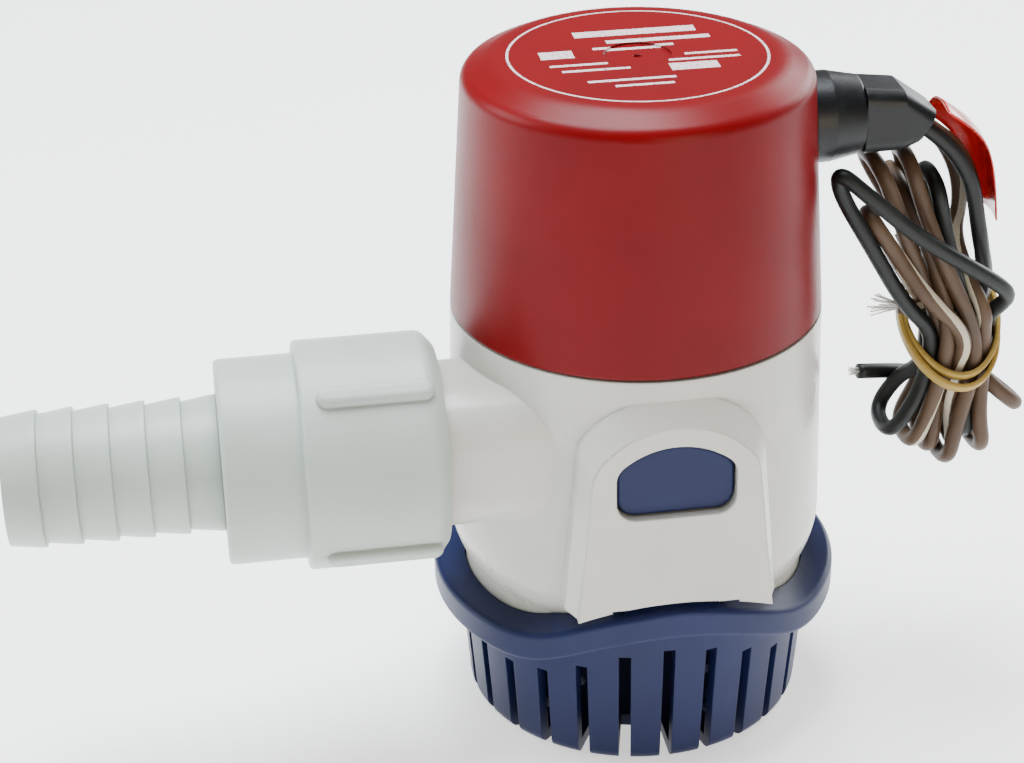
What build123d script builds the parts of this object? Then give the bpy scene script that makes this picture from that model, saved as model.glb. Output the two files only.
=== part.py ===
from build123d import *
import os
from math import asin, cos, degrees, pi, radians, sin, sqrt, tan

# Submersible bilge pump with an automatic motor in a sealed cap. Millimetres, +Z up.
# The origin is on the pump's axis, in the plane that the strainer stands on. The discharge
# runs towards -X, the cable leaves towards +X, and the release tabs are at -Y and +Y.

# ---------------------------------------------------------------- driving dimensions
wall = 2.6  # mouldings
slip = 0.3  # between fixed mouldings that push together
run_fit = 0.05  # radial, on shafts, pins and hinge beads
slide_fit = 0.4  # around a release button

# pump body, outside
body_foot_r = 38.0
body_foot_z = 31.5
body_r = 41.3
body_wide_z = 48.0
body_top_r = 40.0
body_top_z = 96.0
body_round = 20.0  # radius that draws the foot in

# strainer
strainer_r = 37.5
strainer_lip_r = 40.3
strainer_lip_z = 35.0
strainer_round = 3.0
floor_t = 3.0
rim_r = 45.3
rim_top = 33.7  # at the sides, between the tabs
rim_height = 7.0
rim_round = 1.3
wave_height = 10.3
wave_half = 55.0  # degrees each side of a tab
slot_count = 26
slot_w = 2.6
slot_top = 20.5
slot_inner_r = 24.0
foot_hole_r = 2.25
foot_hole_pcd = 34.0
foot_hole_count = 3

# release tabs and the shrouds that guard them
shroud_face_y = 43.2  # at the top of the face
shroud_lean = 2.6  # degrees, the foot of the face stands out
shroud_half_top = 17.4
shroud_half_low = 20.8
shroud_low_z = 43.6
shroud_arch_z = 46.2
shroud_side_z = 78.0
shroud_top_z = 87.0
shroud_depth = 4.0
shroud_spread = 1.9  # the root is wider than the face by this on each side
shroud_rise = 6.0
shroud_round = 8.0
shroud_skin_y = 41.0
window_w = 25.2
window_low = 66.6
window_side_z = 77.6
window_top = 82.8
window_round = 4.2
button_recess = 0.7
tab_half = 10.5
tab_t = 2.2
tab_y = 39.1
tab_pivot_z = 40.3
tab_bead_r = 1.3
tab_travel = 3.2  # free space behind the button

# discharge
duct_y = -17.0
duct_z = 74.0
duct_r = 12.0
pipe_w = 32.0
pipe_round = 10.5
nut_in = 45.5  # stations along the discharge, measured from the pump axis
nut_step = 75.0
nut_out = 91.5
tail_end = 135.7
port_end = 66.0
thread_r = 19.6
thread_depth = 1.0
nut_wall = 4.56
collar_wall = 2.95
thread_pitch = 2.5
thread_start = 50.0
nut_bevel = 3.2
grip_len = 24.0
grip_w = 4.4
grip_proud = 1.8
grip_count = 4
grip_angle = 56.0
barb_root_r = 13.4
barb_crest_r = 14.3
barb_count = 6
barb_land = 1.0
barb_bore_r = 11.0
port_ring_r = 15.9  # middle of the rubber ring in the end of the port
port_ring_groove = 1.15  # half width of its groove
shell_end = 88.6
seat_t = 3.0
seat_gap = 0.4
seat_bore_r = 10.5
flap_r = 12.2
flap_t = 2.0
flap_pin_h = 13.8
flap_pin_r = 0.8
knuckle_r = 1.6
knuckle_half = 3.0
lug_t = 2.0

# volute, impeller and shaft
chamber_r = 29.0
chamber_low = 61.0
chamber_top = 86.8
chamber_wall = 4.6
plate_t = 3.0
eye_r = 11.0
plate_screw_r = 1.4
plate_screw_count = 3
impeller_r = 22.0
impeller_low = 66.5
impeller_top = 82.5
impeller_disc_t = 2.0
hub_r = 6.0
vane_count = 5
vane_t = 1.8
vane_arc_r = 13.0
shaft_r = 2.5
shaft_low = 65.5
seal_r = 6.0
seal_boss_r = 9.0
seal_low = 83.6
roof_t = 3.0

# motor
motor_r = 18.5
motor_low = 90.2
can_t = 1.2
can_top = 136.0
bell_top = 139.5
bush_r = 4.5
bush_len = 4.0
magnet_low = 96.0
magnet_high = 124.0
magnet_in_r = 13.1
magnet_arc = 150.0
core_r = 12.6
core_low = 98.0
core_high = 122.0
core_slots = 5
winding_r = 11.0
commutator_r = 4.5
commutator_low = 127.6
commutator_len = 6.0
brush_size = 3.0
brush_len = 5.0
seat_ring_h = 14.0

# cap
cap_low = 96.4
cap_r = 40.0
cap_shoulder_r = 36.6
cap_shoulder_h = 3.0  # from the shoulder up to the flat top
cap_flat_r = 30.0
cap_top = 151.2
cap_wall = 2.7
gate_r = 7.0
gate_deep = 0.4
spigot_h = 6.0
ring_section = 1.0  # radius of the rubber rings' section

# control board
board_x = 27.0
board_t = 1.6
board_w = 34.0
board_h = 38.0
post_w = 3.6
post_t = 3.0

# cable entry and leads
gland_z = 134.6
gland_r = 9.7
gland_end_r = 8.3
gland_end = 47.5
gland_neck_r = 7.6
sleeve_w = 14.0
sleeve_h = 14.5
sleeve_end = 61.0
sleeve_corner = 56.0
sleeve_drop = 2.4
sleeve_tip_h = 8.4
sleeve_bend = 32.0  # degrees down from level at its tip
lead_d = 3.5
tip_r = 1.1
tip_len = 4.0
band_x = 71.6
band_z = 83.3
band_half_x = 12.6
band_half_y = 10.0
band_t = 1.4
band_w = 4.4
band_tilt = 41.0  # degrees, the rear is the higher side
band_reach = 14.0

# ---------------------------------------------------------------- worked out from them
rim_bottom = rim_top - rim_height
cap_shoulder_z = cap_top - cap_shoulder_h
wave_r = (rim_r + body_r) / 2
chamber_out_r = chamber_r + chamber_wall
roof_top = chamber_top + roof_t
shell_r = thread_r - thread_depth
shell_in_r = shell_r - wall
nut_r = thread_r + nut_wall
collar_r = shell_r + collar_wall
seat_in = port_end + seat_gap
seat_out = seat_in + seat_t
flap_face = seat_out + 1.6
barb_pitch = (tail_end - nut_out) / barb_count
pocket_back = tab_y - tab_t / 2 - tab_travel - slip
pocket_half = window_w / 2 + 1.0
button_y = shroud_face_y - button_recess
cap_slope = (cap_r - cap_shoulder_r) / (cap_shoulder_z - cap_low)
spigot_r = cap_r - cap_wall - slip - cap_slope * spigot_h
ring_z = body_top_z + spigot_h / 2
ring_r = cap_r - cap_wall - cap_slope * (ring_z - cap_low) - ring_section - 0.1
board_low = body_top_z + spigot_h + 2.3
duct_axis = Axis((0, duct_y, duct_z), (-1, 0, 0))
duct_plane = Plane(origin=(0, duct_y, duct_z), x_dir=(-1, 0, 0), z_dir=(0, -1, 0))
cap_side_r = cap_r - cap_slope * (gland_z - cap_low)
flap_pivot_s = flap_face + flap_t / 2


def wave_rise(angle):
    """Height of the rim's wave at an angle from the nearest tab, in degrees."""
    if abs(angle) >= wave_half:
        return 0.0
    return wave_height * (1 + cos(pi * angle / wave_half)) / 2


def wave_edge(base):
    """One edge of the rim seen from the front: level at the sides, high at the tab."""
    reach = rim_r + 5
    angles = [wave_half * step / 2 for step in (-2, -1, 0, 1, 2)]
    points = [(wave_r * sin(radians(a)), base + wave_rise(a)) for a in angles]
    Line((-reach, base), points[0])
    Spline(points, tangents=[(1, 0), (1, 0)])
    Line(points[-1], (reach, base))
    return (-reach, base), (reach, base)


def body_side(grow):
    """Side of the body from its foot to its top, moved outwards by grow."""
    swing = degrees(asin(sqrt(1 - ((body_foot_r - body_r + body_round) / body_round) ** 2)))
    centre_r = body_r - body_round

    def on_arc(angle):
        return (
            centre_r + body_round * cos(radians(angle)) + grow,
            body_wide_z - body_round * sin(radians(angle)),
        )

    Line((body_foot_r + grow, body_foot_z), on_arc(swing))
    ThreePointArc(on_arc(swing), on_arc(swing / 2), (body_r + grow, body_wide_z))
    Line((body_r + grow, body_wide_z), (body_top_r + grow, body_top_z))


def body_solid_profile(grow):
    """Half section of the whole body, closed on the pump's axis."""
    with BuildSketch() as profile:
        with BuildLine():
            body_side(grow)
            Line((body_top_r + grow, body_top_z), (0, body_top_z))
            Polyline((0, body_top_z), (0, body_foot_z), (body_foot_r + grow, body_foot_z))
        make_face()
    return profile.sketch


def window_outline():
    """Opening in a shroud: flat foot, straight sides and a shallow arched head."""
    half = window_w / 2
    with BuildSketch() as opening:
        with BuildLine():
            Polyline((-half, window_side_z), (-half, window_low), (half, window_low), (half, window_side_z))
            ThreePointArc((half, window_side_z), (0, window_top), (-half, window_side_z))
        make_face()
        fillet(opening.vertices(), window_round)
    return opening.sketch


def shroud_outline(spread, rise, shoulder):
    """Front of a shroud: arched foot, sides that lean in, and a domed head with round shoulders."""
    low = shroud_half_low + spread
    top = shroud_half_top + spread
    side_z = shroud_side_z + rise / 2
    with BuildSketch() as front:
        with BuildLine():
            Line((-low, shroud_low_z), (-top, side_z))
            ThreePointArc((-top, side_z), (0, shroud_top_z + rise), (top, side_z))
            Line((top, side_z), (low, shroud_low_z))
            ThreePointArc((low, shroud_low_z), (0, shroud_arch_z), (-low, shroud_low_z))
        make_face()
        fillet(front.vertices().group_by(Axis.Y)[-1], shoulder)
    return front.sketch


def ring_profile(points):
    """Closed half section given as (radius, height) or (station, radius) pairs."""
    with BuildSketch() as section:
        with BuildLine():
            Polyline(*points, close=True)
        make_face()
    return section.sketch


# ---------------------------------------------------------------- strainer
with BuildPart() as rim:
    with BuildSketch(Plane.XY.offset(rim_bottom - 2)):
        Circle(rim_r)
        Circle(body_foot_r + slip, mode=Mode.SUBTRACT)
    extrude(amount=rim_height + wave_height + 4)
    with BuildSketch(Plane.XZ):
        with BuildLine():
            low_start, low_end = wave_edge(rim_bottom)
            top_start, top_end = wave_edge(rim_top)
            Line(low_start, top_start)
            Line(low_end, top_end)
        make_face()
    extrude(amount=rim_r + 5, both=True, mode=Mode.INTERSECT)
    outer_face = rim.faces().filter_by(GeomType.CYLINDER).sort_by(SortBy.AREA)[-1]
    fillet(outer_face.edges().filter_by(GeomType.LINE, reverse=True), radius=rim_round)

with BuildPart() as strainer:
    with BuildSketch(Plane.XZ) as basket:
        foot_in = strainer_r - wall
        ledge_in = body_foot_r - 1.6
        add(ring_profile(
            [
                (0, 0),
                (strainer_r, 0),
                (strainer_lip_r, strainer_lip_z),
                (strainer_lip_r, rim_top + wave_height),
                (body_foot_r + slip, rim_top + wave_height),
                (body_foot_r + slip, body_foot_z),
                (ledge_in, body_foot_z),
                (ledge_in, body_foot_z - 2),
                (foot_in, floor_t),
                (0, floor_t),
            ]
        ))
        fillet(basket.vertices().sort_by_distance((strainer_r, 0))[0], strainer_round)
    revolve(axis=Axis.Z)
    with BuildSketch(Plane.XZ):
        with BuildLine():
            top_start, top_end = wave_edge(rim_top - rim_round)
            Polyline(top_start, (top_start[0], -1), (top_end[0], -1), top_end)
        make_face()
    extrude(amount=rim_r + 5, both=True, mode=Mode.INTERSECT)
    add(rim.part)
    # room for the body's foot
    with BuildSketch(Plane.XZ):
        add(body_solid_profile(slip))
    revolve(axis=Axis.Z, mode=Mode.SUBTRACT)
    # slots through the wall and on under the floor
    for i in range(slot_count):
        turn = i * 360 / slot_count
        from_tab = min(turn, abs(turn - 180), 360 - turn)
        height = slot_top + wave_rise(from_tab) + 1
        slot_plane = Plane.XY.rotated((0, 0, turn)).offset(-1)
        with BuildSketch(slot_plane):
            with Locations((0, -(slot_inner_r + rim_r + 2) / 2)):
                Rectangle(slot_w, rim_r + 2 - slot_inner_r)
        extrude(amount=height, mode=Mode.SUBTRACT)
    with PolarLocations(foot_hole_pcd / 2, foot_hole_count, start_angle=90):
        Cylinder(foot_hole_r, 20, mode=Mode.SUBTRACT)
    # a notch and a round seat for the root of each release tab
    for side in (-1, 1):
        with Locations((0, side * (tab_y + 0.05), tab_pivot_z - tab_bead_r + 15)):
            Box(2 * (tab_half + slide_fit), tab_t + 2.0, 30, mode=Mode.SUBTRACT)
        with Locations(Location((0, side * tab_y, tab_pivot_z), (0, 90, 0))):
            Cylinder(tab_bead_r + run_fit, 2 * (tab_half + slide_fit), mode=Mode.SUBTRACT)
strainer.part.label = "strainer"

# ---------------------------------------------------------------- release tabs
with BuildPart() as tab:
    with BuildSketch(Plane.YZ.offset(-tab_half)):
        with Locations((-tab_y, tab_pivot_z)):
            Circle(tab_bead_r)
        with Locations((-tab_y, (tab_pivot_z + window_side_z) / 2)):
            Rectangle(tab_t, window_side_z - tab_pivot_z)
    extrude(amount=2 * tab_half)
    with BuildSketch(Plane.XZ.offset(tab_y - tab_t / 2)):
        add(window_outline())
        offset(amount=-slide_fit, mode=Mode.REPLACE)
    extrude(amount=button_y - tab_y + tab_t / 2)
    fillet(tab.faces().sort_by(Axis.Y)[0].edges(), radius=0.6)
release_tab_front = tab.part
release_tab_front.label = "release_tab_front"
release_tab_rear = mirror(tab.part, about=Plane.XZ)
release_tab_rear.label = "release_tab_rear"

# ---------------------------------------------------------------- pump body
with BuildPart() as shroud:
    with BuildSketch(Plane.XZ.offset(shroud_face_y - shroud_depth)) as root_outline:
        add(shroud_outline(shroud_spread, shroud_rise, shroud_round + 1))
    with BuildSketch(Plane.XZ.offset(shroud_face_y)):
        add(shroud_outline(0, 0, shroud_round))
    loft()
    extrude(root_outline.sketch, amount=-9)
    # the foot of the face stands further out than its head
    lean_out = (shroud_top_z - shroud_low_z) * tan(radians(shroud_lean))
    with BuildSketch(Plane.XZ.offset(shroud_face_y)):
        add(shroud_outline(0, 0, shroud_round))
    extrude(amount=lean_out)
    with BuildSketch(Plane.YZ.offset(-30)):
        with BuildLine():
            Polyline(
                (-shroud_face_y, shroud_top_z),
                (-shroud_face_y - lean_out, shroud_low_z),
                (-shroud_face_y - lean_out - 5, shroud_low_z),
                (-shroud_face_y - lean_out - 5, shroud_top_z),
                close=True,
            )
        make_face()
    extrude(amount=60, mode=Mode.SUBTRACT)

with BuildPart() as pocket_walls:
    with BuildSketch(Plane.XZ):
        add(body_solid_profile(-0.5))
    revolve(axis=Axis.Z)
    with Locations((0, 0, (body_foot_z + roof_top) / 2)):
        Box(2 * (pocket_half + wall), 2 * body_r, roof_top - body_foot_z, mode=Mode.INTERSECT)
        Box(2 * (pocket_half + wall), 2 * (pocket_back - wall), 2 * body_top_z, mode=Mode.SUBTRACT)

with BuildPart() as pump_body:
    with BuildSketch(Plane.XZ):
        add(body_solid_profile(0))
    revolve(axis=Axis.Z)
    add(shroud.part)
    add(mirror(shroud.part, about=Plane.XZ, mode=Mode.PRIVATE))
    with BuildSketch(Plane.YZ.offset(-nut_in - 3)):
        with Locations((duct_y, duct_z)):
            RectangleRounded(pipe_w, pipe_w - 1, pipe_round)
    extrude(amount=nut_in)
    # hollow from end to end, then the floors and walls inside
    with BuildSketch(Plane.XZ):
        add(body_solid_profile(-wall))
    revolve(axis=Axis.Z, mode=Mode.SUBTRACT)
    with BuildSketch(Plane.XY.offset(chamber_low)):
        Circle(chamber_out_r)
    extrude(amount=roof_top - chamber_low)
    with BuildSketch(Plane.XY.offset(chamber_top)):
        Circle(body_top_r - wall / 2)
    extrude(amount=roof_t)
    with BuildSketch(Plane.YZ.offset(-body_top_r + wall / 2)):
        with Locations((duct_y, duct_z)):
            RectangleRounded(pipe_w, pipe_w - 1, pipe_round)
    extrude(amount=body_top_r - wall)
    add(pocket_walls.part)
    with BuildSketch(Plane.XY.offset(roof_top)):
        Circle(motor_r + slip + wall)
        Circle(motor_r + slip, mode=Mode.SUBTRACT)
    extrude(amount=seat_ring_h)
    # threaded port
    with BuildSketch(duct_plane):
        crests = int((port_end - 1 - thread_start) / thread_pitch)
        thread_root = thread_r - thread_depth
        outline = [(nut_in - 1, 0), (nut_in - 1, pipe_w / 2 - 1), (nut_in + 2, thread_root)]
        for i in range(crests):
            start = thread_start + i * thread_pitch
            outline += [
                (start, thread_root),
                (start + thread_pitch * 0.3, thread_r),
                (start + thread_pitch * 0.6, thread_r),
                (start + thread_pitch * 0.9, thread_root),
            ]
        add(ring_profile(outline + [(port_end, thread_root), (port_end, 0)]))
    revolve(axis=duct_axis)
    # shoulder and spigot for the cap
    with BuildSketch(Plane.XZ):
        groove_low = ring_z - ring_section - 0.1
        groove_top = ring_z + ring_section + 0.1
        groove_in = ring_r - ring_section - 0.1
        add(ring_profile(
            [
                (body_top_r - wall / 2, body_top_z - 5),
                (body_top_r - wall / 2, body_top_z),
                (spigot_r, body_top_z),
                (spigot_r, groove_low),
                (groove_in, groove_low),
                (groove_in, groove_top),
                (spigot_r, groove_top),
                (spigot_r, body_top_z + spigot_h),
                (groove_in - wall, body_top_z + spigot_h),
                (groove_in - wall, body_top_z),
                (body_top_r - wall - 0.4, body_top_z - 5),
            ]
        ))
    revolve(axis=Axis.Z)
    # posts that hold the control board
    post_h = board_low - roof_top + 8
    for side in (-1, 1):
        with Locations((board_x + board_t / 2, side * (board_w / 2 - 0.1), roof_top + post_h / 2)):
            Box(post_w, post_t, post_h)
    with Locations((board_x + board_t / 2, 0, board_low + board_h / 2 - 0.2)):
        Box(board_t + 0.2, board_w + 0.4, board_h, mode=Mode.SUBTRACT)
    # volute chamber, discharge bore, seal pocket
    with BuildSketch(Plane.XY.offset(chamber_low - 8)):
        Circle(chamber_out_r + 0.4)
    extrude(amount=8, mode=Mode.SUBTRACT)
    with BuildSketch(Plane.XY.offset(chamber_low)):
        Circle(chamber_r)
    extrude(amount=chamber_top - chamber_low, mode=Mode.SUBTRACT)
    with BuildSketch(Plane.YZ.offset(-8)):
        with Locations((duct_y, duct_z)):
            Circle(duct_r)
    extrude(amount=-(port_end - 8), mode=Mode.SUBTRACT)
    with BuildSketch(Plane.XY.offset(seal_low)):
        Circle(seal_boss_r)
    extrude(amount=chamber_top - seal_low)
    with BuildSketch(Plane.XY.offset(seal_low)):
        Circle(seal_r)
    extrude(amount=roof_top - seal_low, mode=Mode.SUBTRACT)
    # ring groove in the end of the port
    with BuildSketch(duct_plane):
        add(ring_profile(
            [
                (port_end - 1.7, port_ring_r - port_ring_groove),
                (port_end, port_ring_r - port_ring_groove),
                (port_end, port_ring_r + port_ring_groove),
                (port_end - 1.7, port_ring_r + port_ring_groove),
            ]
        ))
    revolve(axis=duct_axis, mode=Mode.SUBTRACT)
    # pilots for the inlet plate's screws
    with BuildSketch(Plane.XY.offset(chamber_low)):
        with PolarLocations((chamber_r + chamber_out_r) / 2, plate_screw_count, start_angle=30):
            Circle(plate_screw_r)
    extrude(amount=9, mode=Mode.SUBTRACT)
    # pockets and windows of the release tabs, open at the foot where the tabs come up
    for side in (-1, 1):
        pocket_y = side * (shroud_skin_y + pocket_back) / 2
        with Locations((0, pocket_y, (body_foot_z - 1 + window_top + 2) / 2)):
            Box(
                2 * pocket_half,
                shroud_skin_y - pocket_back,
                window_top + 3 - body_foot_z,
                mode=Mode.SUBTRACT,
            )
        with Locations((0, side * (shroud_skin_y + 2), (body_foot_z + shroud_arch_z) / 2 - 0.6)):
            Box(2 * pocket_half, 4.2, shroud_arch_z - body_foot_z, mode=Mode.SUBTRACT)
        with BuildSketch(Plane.XZ.offset(-side * 36)):
            add(window_outline())
        extrude(amount=-side * 14, mode=Mode.SUBTRACT)
pump_body.part.label = "pump_body"

# ---------------------------------------------------------------- motor cap
with BuildPart() as motor_cap:
    with BuildSketch(Plane.XZ) as cap_half:
        add(ring_profile(
            [
                (cap_r, cap_low),
                (cap_shoulder_r, cap_shoulder_z),
                (cap_flat_r, cap_top),
                (0, cap_top),
                (0, cap_top - cap_wall),
                (cap_flat_r - 1, cap_top - cap_wall),
                (cap_shoulder_r - cap_wall, cap_shoulder_z - 2.4),
                (cap_r - cap_wall, cap_low),
            ]
        ))
        fillet(cap_half.vertices().sort_by_distance((cap_shoulder_r, cap_shoulder_z))[0], 3.2)
        fillet(cap_half.vertices().sort_by_distance((cap_flat_r, cap_top))[0], 8)
        fillet(cap_half.vertices().sort_by_distance((cap_r, cap_low))[0], 0.5)
    revolve(axis=Axis.Z)
    # rib that presses on the motor's pad
    with BuildSketch(Plane.XY.offset(bell_top + 3)):
        Circle(14)
        Circle(11.5, mode=Mode.SUBTRACT)
    extrude(amount=cap_top - cap_wall - bell_top - 2)
    # moulding gate on top and the hole of the cable gland
    with BuildSketch(Plane.XY.offset(cap_top)):
        Circle(gate_r)
    extrude(amount=-gate_deep, mode=Mode.SUBTRACT)
    with Locations((0, 0, cap_top - gate_deep)):
        Sphere(0.9, mode=Mode.SUBTRACT)
    with BuildSketch(Plane.YZ.offset(cap_side_r - 8)):
        with Locations((0, gland_z)):
            Circle(gland_neck_r)
    extrude(amount=12, mode=Mode.SUBTRACT)
motor_cap.part.label = "motor_cap"

with BuildPart() as cap_ring:
    with BuildSketch(Plane.XZ):
        with Locations((ring_r, ring_z)):
            Circle(ring_section)
    revolve(axis=Axis.Z)
cap_ring.part.label = "cap_ring"

# ---------------------------------------------------------------- volute plate and screws
plate_low = chamber_low - plate_t
with BuildPart() as inlet_plate:
    with BuildSketch(Plane.XY.offset(plate_low)):
        Circle(chamber_out_r)
        Circle(eye_r, mode=Mode.SUBTRACT)
    extrude(amount=plate_t)
    with BuildSketch(Plane.XY.offset(plate_low - 3)):
        Circle(eye_r + 2)
        Circle(eye_r, mode=Mode.SUBTRACT)
    extrude(amount=3)
    fillet(inlet_plate.edges().filter_by(GeomType.CIRCLE).group_by(Axis.Z)[0], radius=0.7)
    with PolarLocations((chamber_r + chamber_out_r) / 2, plate_screw_count, start_angle=30):
        Cylinder(plate_screw_r, 3 * chamber_low, mode=Mode.SUBTRACT)
inlet_plate.part.label = "inlet_plate"

with BuildPart() as plate_screws:
    with BuildSketch(Plane.XY.offset(plate_low - 1.8)):
        with PolarLocations((chamber_r + chamber_out_r) / 2, plate_screw_count, start_angle=30):
            Circle(2.3)
    extrude(amount=1.8)
    with BuildSketch(Plane.XY.offset(plate_low)):
        with PolarLocations((chamber_r + chamber_out_r) / 2, plate_screw_count, start_angle=30):
            Circle(plate_screw_r)
    extrude(amount=plate_t + 8)
    with BuildSketch(Plane.XY.offset(plate_low - 1.8)):
        with PolarLocations((chamber_r + chamber_out_r) / 2, plate_screw_count, start_angle=30):
            Rectangle(3, 0.6)
            Rectangle(0.6, 3)
    extrude(amount=1, mode=Mode.SUBTRACT)
plate_screws.part.label = "plate_screws"

# ---------------------------------------------------------------- impeller, shaft and armature
with BuildPart() as impeller:
    with BuildSketch(Plane.XY.offset(impeller_low)):
        Circle(hub_r)
    extrude(amount=impeller_top - impeller_low)
    with BuildSketch(Plane.XY.offset(impeller_top - impeller_disc_t)):
        Circle(impeller_r)
    extrude(amount=impeller_disc_t)
    with BuildSketch(Plane.XY.offset(impeller_low)):
        with PolarLocations(0, vane_count):
            SlotArc(CenterArc((vane_arc_r, 1), vane_arc_r - 1.5, 75, 100), vane_t)
    extrude(amount=impeller_top - impeller_low)
    with BuildSketch(Plane.XY.offset(impeller_low)):
        Circle(impeller_r)
    extrude(amount=impeller_top - impeller_low, mode=Mode.INTERSECT)
    with BuildSketch(Plane.XY.offset(impeller_low)):
        Circle(shaft_r)
    extrude(amount=impeller_top - impeller_low, mode=Mode.SUBTRACT)
impeller.part.label = "impeller"

with BuildPart() as motor_shaft:
    with BuildSketch(Plane.XY.offset(shaft_low)):
        Circle(shaft_r)
    extrude(amount=bell_top - 1 - shaft_low)
    chamfer(motor_shaft.edges().filter_by(GeomType.CIRCLE), 0.4)
motor_shaft.part.label = "motor_shaft"

with BuildPart() as armature_core:
    with BuildSketch(Plane.XY.offset(core_low)):
        Circle(core_r)
        with PolarLocations(0, core_slots):
            with Locations((core_r - 1, 0)):
                Rectangle(6, 1.6, mode=Mode.SUBTRACT)
            with Locations((core_r - 5.4, 0)):
                Circle(2.2, mode=Mode.SUBTRACT)
        Circle(shaft_r, mode=Mode.SUBTRACT)
    extrude(amount=core_high - core_low)
armature_core.part.label = "armature_core"

with BuildPart() as windings:
    with BuildSketch(Plane.XZ):
        for low in (core_low - 4.6, core_high + 0.1):
            with Locations(((winding_r + shaft_r + 1) / 2, low + 2.25)):
                RectangleRounded(winding_r - shaft_r - 1, 4.5, 1.6)
    revolve(axis=Axis.Z)
windings.part.label = "windings"

with BuildPart() as commutator:
    with BuildSketch(Plane.XY.offset(commutator_low)):
        Circle(commutator_r)
        Circle(shaft_r, mode=Mode.SUBTRACT)
        with PolarLocations(commutator_r, core_slots):
            Rectangle(1.2, 0.5, mode=Mode.SUBTRACT)
    extrude(amount=commutator_len)
commutator.part.label = "commutator"

# ---------------------------------------------------------------- motor stator
with BuildPart() as motor_can:
    with BuildSketch(Plane.XZ):
        add(ring_profile(
            [
                (bush_r, motor_low),
                (motor_r, motor_low),
                (motor_r, can_top),
                (motor_r - can_t, can_top),
                (motor_r - can_t, motor_low + can_t),
                (bush_r + 1, motor_low + can_t),
                (bush_r + 1, motor_low + bush_len - 2),
                (bush_r, motor_low + bush_len - 2),
            ]
        ))
    revolve(axis=Axis.Z)
    fillet(motor_can.edges().filter_by(GeomType.CIRCLE).group_by(Axis.Z)[0].sort_by(SortBy.LENGTH)[-1], 1.0)
motor_can.part.label = "motor_can"

with BuildPart() as magnets:
    with BuildSketch(Plane.XY.offset(magnet_low)):
        Circle(motor_r - can_t)
        Circle(magnet_in_r, mode=Mode.SUBTRACT)
        for side in (0, 180):
            gap = 180 - magnet_arc
            with Locations(Location((0, 0, 0), (0, 0, 90 + side))):
                with Locations((motor_r / 2 + 4, 0)):
                    Rectangle(motor_r, 2 * motor_r * sin(radians(gap / 2)), mode=Mode.SUBTRACT)
    extrude(amount=magnet_high - magnet_low)
magnets.part.label = "magnets"

with BuildPart() as end_bell:
    with BuildSketch(Plane.XZ):
        add(ring_profile(
            [
                (bush_r, can_top - 1.8),
                (motor_r - can_t, can_top - 1.8),
                (motor_r - can_t, can_top),
                (motor_r, can_top),
                (motor_r, bell_top),
                (bush_r, bell_top),
            ]
        ))
    revolve(axis=Axis.Z)
    for side in (-1, 1):
        with Locations((side * 11, 0, can_top)):
            Box(1.0, 4.4, 12, mode=Mode.SUBTRACT)
end_bell.part.label = "end_bell"

with BuildPart() as shaft_bushes:
    for low in (motor_low, can_top - 1.8):
        height = bush_len - 1.0 if low == motor_low else bell_top - low
        with BuildSketch(Plane.XY.offset(low)):
            Circle(bush_r)
            Circle(shaft_r + run_fit, mode=Mode.SUBTRACT)
        extrude(amount=height)
shaft_bushes.part.label = "shaft_bushes"

with BuildPart() as shaft_seal:
    with BuildSketch(Plane.XZ):
        add(ring_profile(
            [
                (shaft_r + run_fit, seal_low + 0.4),
                (shaft_r + 0.9, seal_low + 0.4),
                (shaft_r + 1.6, seal_low + 2.6),
                (seal_r - 1.1, seal_low + 2.6),
                (seal_r - 1.1, seal_low + 0.2),
                (seal_r, seal_low + 0.2),
                (seal_r, roof_top),
                (shaft_r + 0.8, roof_top),
                (shaft_r + 0.8, seal_low + 3.2),
                (shaft_r + run_fit, seal_low + 1.4),
            ]
        ))
    revolve(axis=Axis.Z)
shaft_seal.part.label = "shaft_seal"

brush_z = commutator_low + commutator_len / 2
with BuildPart() as brushes:
    for side in (-1, 1):
        with Locations((side * (commutator_r + 0.1 + brush_len / 2), 0, brush_z)):
            Box(brush_len, brush_size, brush_size)
    with BuildSketch(Plane.XY.offset(brush_z - brush_size)):
        Circle(commutator_r + 0.1)
    extrude(amount=2 * brush_size, mode=Mode.SUBTRACT)
brushes.part.label = "brushes"

with BuildPart() as brush_arms:
    for side in (-1, 1):
        with BuildSketch(Plane.XZ.offset(-1.9)):
            with Locations((side * (commutator_r + 0.2 + brush_len + 1.15), (brush_z - 1.5 + bell_top) / 2)):
                Rectangle(0.5, bell_top - brush_z + 1.5)
            with Locations((side * (commutator_r + 0.2 + brush_len + 0.6), brush_z)):
                Rectangle(1.2, 2.4)
        extrude(amount=3.8)
brush_arms.part.label = "brush_arms"

with BuildPart() as motor_terminals:
    for side in (-1, 1):
        with Locations((0, side * 12.5, bell_top + 1.4)):
            Box(5.0, 0.6, 2.8)
            with Locations((1.2, 0, 0)):
                Cylinder(0.7, 3, rotation=(90, 0, 0), mode=Mode.SUBTRACT)
motor_terminals.part.label = "motor_terminals"

with BuildPart() as motor_pad:
    with BuildSketch(Plane.XY.offset(bell_top)):
        Circle(16)
        Circle(9, mode=Mode.SUBTRACT)
        for side in (-1, 1):
            with Locations((0, side * 12.5)):
                Rectangle(6.4, 2.6, mode=Mode.SUBTRACT)
    extrude(amount=3.0)
motor_pad.part.label = "motor_pad"

# ---------------------------------------------------------------- control board
with BuildPart() as control_board:
    with BuildSketch(Plane.YZ.offset(board_x)):
        with Locations((0, board_low + board_h / 2)):
            RectangleRounded(board_w, board_h, 1.5)
            for side in (-1, 1):
                with Locations((side * (board_w / 2 - 3.5), board_h / 2 - 4)):
                    Circle(1.3, mode=Mode.SUBTRACT)
    extrude(amount=board_t)
control_board.part.label = "control_board"

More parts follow.
